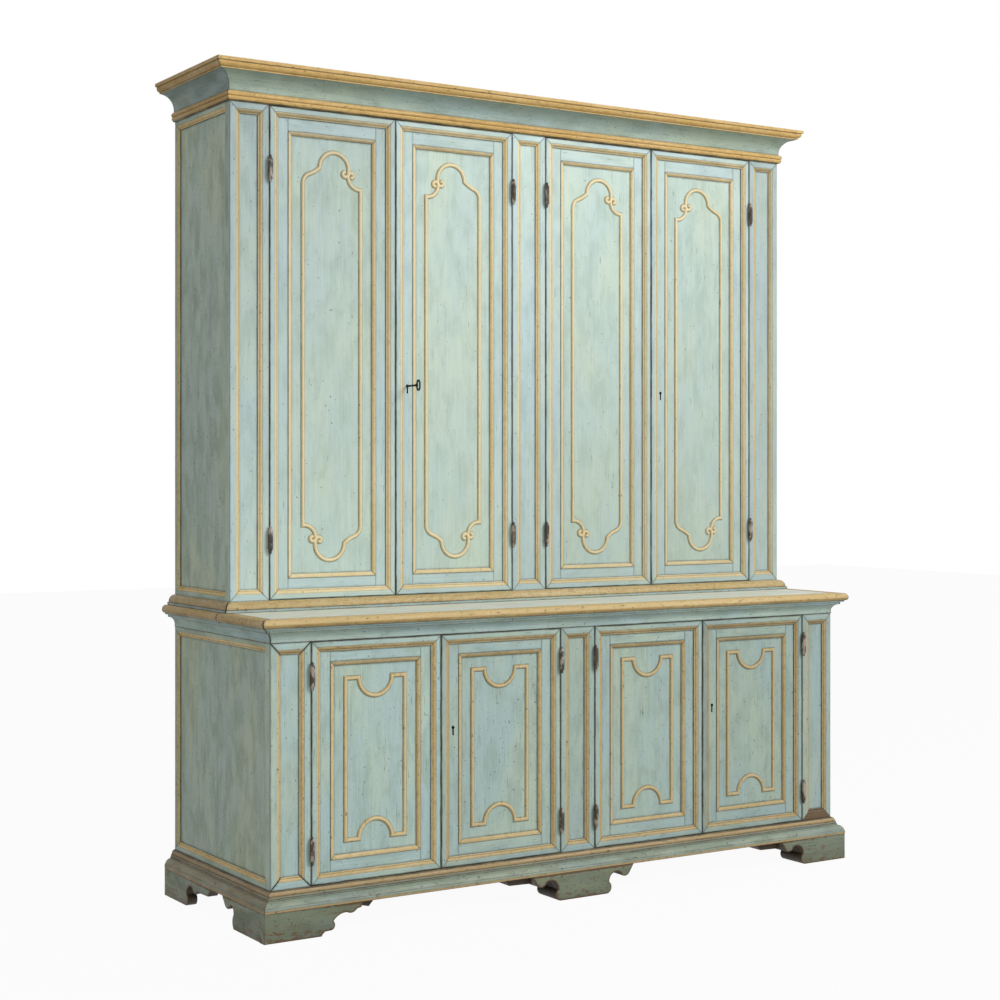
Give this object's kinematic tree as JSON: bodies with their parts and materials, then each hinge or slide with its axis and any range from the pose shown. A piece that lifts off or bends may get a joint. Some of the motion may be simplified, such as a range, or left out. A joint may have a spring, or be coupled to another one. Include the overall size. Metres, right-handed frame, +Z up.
{
  "type": "two-part painted cupboard",
  "caption": "Tall provincial painted cupboard: shallow upper case on a deep counter-topped base, panelled doors with scrolled ochre mouldings on pale blue-green paint.",
  "frame": {"origin": "on the floor, in the middle of the outline seen from above", "axes": "+X to the viewer's right along the front, +Y towards the wall, +Z up"},
  "size_m": [2.126, 0.7, 2.4],
  "materials": {
    "painted_wood": "aged pale blue-green paint with ochre mouldings, worn and dirty at the edges",
    "ochre_paint": "aged ochre yellow paint on the mouldings",
    "bare_wood": "unpainted aged softwood inside and at the back",
    "black_iron": "forged iron, dark and slightly rusted"
  },
  "bodies": {
    "case": {"bracket_feet": "painted_wood", "foot_blocks": "bare_wood", "base_moulding": "ochre_paint", "counter_cove": "painted_wood", "counter_top": "painted_wood", "locating_dowels": "bare_wood", "upper_plinth_moulding": "ochre_paint", "cornice": "ochre_paint", "upper_top_board": "bare_wood", "shelf_cleats": "bare_wood", "hinge_pins": "black_iron", "lower_sides": "painted_wood", "lower_back_boards": "bare_wood", "lower_bottom_board": "bare_wood", "lower_rails": "painted_wood", "lower_partition": "bare_wood", "lower_shelves": "bare_wood", "lower_pilasters": "painted_wood", "lower_case_mouldings": "ochre_paint", "upper_sides": "painted_wood", "upper_back_boards": "bare_wood", "upper_bottom_board": "bare_wood", "upper_rails": "painted_wood", "upper_partition": "bare_wood", "upper_shelves": "bare_wood", "upper_pilasters": "painted_wood", "upper_case_mouldings": "ochre_paint"},
    "lower_door_1": {"lower_door_1_leaf": "painted_wood", "lower_door_1_mouldings": "ochre_paint", "lower_door_1_ironwork": "black_iron"},
    "lower_door_1_slide_bolt": {"lower_door_1_slide_bolt": "black_iron"},
    "lower_door_2": {"lower_door_2_leaf": "painted_wood", "lower_door_2_mouldings": "ochre_paint", "lower_door_2_ironwork": "black_iron"},
    "lower_door_2_lock_bolt": {"lower_door_2_lock_bolt": "black_iron"},
    "lower_door_3": {"lower_door_3_leaf": "painted_wood", "lower_door_3_mouldings": "ochre_paint", "lower_door_3_ironwork": "black_iron"},
    "lower_door_3_slide_bolt": {"lower_door_3_slide_bolt": "black_iron"},
    "lower_door_4": {"lower_door_4_leaf": "painted_wood", "lower_door_4_mouldings": "ochre_paint", "lower_door_4_ironwork": "black_iron"},
    "lower_door_4_lock_bolt": {"lower_door_4_lock_bolt": "black_iron"},
    "upper_door_1": {"upper_door_1_leaf": "painted_wood", "upper_door_1_mouldings": "ochre_paint", "upper_door_1_ironwork": "black_iron"},
    "upper_door_1_slide_bolt": {"upper_door_1_slide_bolt": "black_iron"},
    "upper_door_2": {"upper_door_2_leaf": "painted_wood", "upper_door_2_mouldings": "ochre_paint", "upper_door_2_ironwork": "black_iron"},
    "upper_door_2_lock_bolt": {"upper_door_2_lock_bolt": "black_iron"},
    "upper_door_3": {"upper_door_3_leaf": "painted_wood", "upper_door_3_mouldings": "ochre_paint", "upper_door_3_ironwork": "black_iron"},
    "upper_door_3_slide_bolt": {"upper_door_3_slide_bolt": "black_iron"},
    "upper_door_4": {"upper_door_4_leaf": "painted_wood", "upper_door_4_mouldings": "ochre_paint", "upper_door_4_ironwork": "black_iron"},
    "upper_door_4_lock_bolt": {"upper_door_4_lock_bolt": "black_iron"},
    "key": {"key": "black_iron"}
  },
  "joints": [
    {"name": "lower_door_1_hinge", "type": "hinge", "parent": "case", "child": "lower_door_1", "pos_m": [-0.8785, -0.3154, 0.227], "axis": [0, 0, -1], "range_deg": [0, 170]},
    {"name": "lower_door_1_slide_bolt_travel", "type": "slide", "parent": "lower_door_1", "child": "lower_door_1_slide_bolt", "axis": [0, 0, 1], "range_m": [0, 0.02]},
    {"name": "lower_door_2_hinge", "type": "hinge", "parent": "case", "child": "lower_door_2", "pos_m": [-0.0615, -0.3154, 0.227], "axis": [0, 0, 1], "range_deg": [0, 90]},
    {"name": "lower_door_2_lock_bolt_travel", "type": "slide", "parent": "lower_door_2", "child": "lower_door_2_lock_bolt", "axis": [-1, 0, 0], "range_m": [0, 0.016]},
    {"name": "lower_door_3_hinge", "type": "hinge", "parent": "case", "child": "lower_door_3", "pos_m": [0.0615, -0.3154, 0.227], "axis": [0, 0, -1], "range_deg": [0, 90]},
    {"name": "lower_door_3_slide_bolt_travel", "type": "slide", "parent": "lower_door_3", "child": "lower_door_3_slide_bolt", "axis": [0, 0, 1], "range_m": [0, 0.02]},
    {"name": "lower_door_4_hinge", "type": "hinge", "parent": "case", "child": "lower_door_4", "pos_m": [0.8785, -0.3154, 0.227], "axis": [0, 0, 1], "range_deg": [0, 170]},
    {"name": "lower_door_4_lock_bolt_travel", "type": "slide", "parent": "lower_door_4", "child": "lower_door_4_lock_bolt", "axis": [-1, 0, 0], "range_m": [0, 0.016]},
    {"name": "upper_door_1_hinge", "type": "hinge", "parent": "case", "child": "upper_door_1", "pos_m": [-0.8785, -0.0524, 1.061], "axis": [0, 0, -1], "range_deg": [0, 170]},
    {"name": "upper_door_1_slide_bolt_travel", "type": "slide", "parent": "upper_door_1", "child": "upper_door_1_slide_bolt", "axis": [0, 0, 1], "range_m": [0, 0.02]},
    {"name": "upper_door_2_hinge", "type": "hinge", "parent": "case", "child": "upper_door_2", "pos_m": [-0.0615, -0.0524, 1.061], "axis": [0, 0, 1], "range_deg": [0, 90]},
    {"name": "upper_door_2_lock_bolt_travel", "type": "slide", "parent": "upper_door_2", "child": "upper_door_2_lock_bolt", "axis": [-1, 0, 0], "range_m": [0, 0.016]},
    {"name": "upper_door_3_hinge", "type": "hinge", "parent": "case", "child": "upper_door_3", "pos_m": [0.0615, -0.0524, 1.061], "axis": [0, 0, -1], "range_deg": [0, 90]},
    {"name": "upper_door_3_slide_bolt_travel", "type": "slide", "parent": "upper_door_3", "child": "upper_door_3_slide_bolt", "axis": [0, 0, 1], "range_m": [0, 0.02]},
    {"name": "upper_door_4_hinge", "type": "hinge", "parent": "case", "child": "upper_door_4", "pos_m": [0.8785, -0.0524, 1.061], "axis": [0, 0, 1], "range_deg": [0, 170]},
    {"name": "upper_door_4_lock_bolt_travel", "type": "slide", "parent": "upper_door_4", "child": "upper_door_4_lock_bolt", "axis": [-1, 0, 0], "range_m": [0, 0.016]},
    {"name": "key_turn", "type": "hinge", "parent": "upper_door_2", "child": "key", "pos_m": [-0.4255, -0.045, 1.508], "axis": [0, -1, 0], "range_deg": [0, 360]}
  ],
  "couplings": [
    {"joint": "key_turn", "follows": "upper_door_2_lock_bolt_travel", "rad_per_m": 392.5}
  ]
}
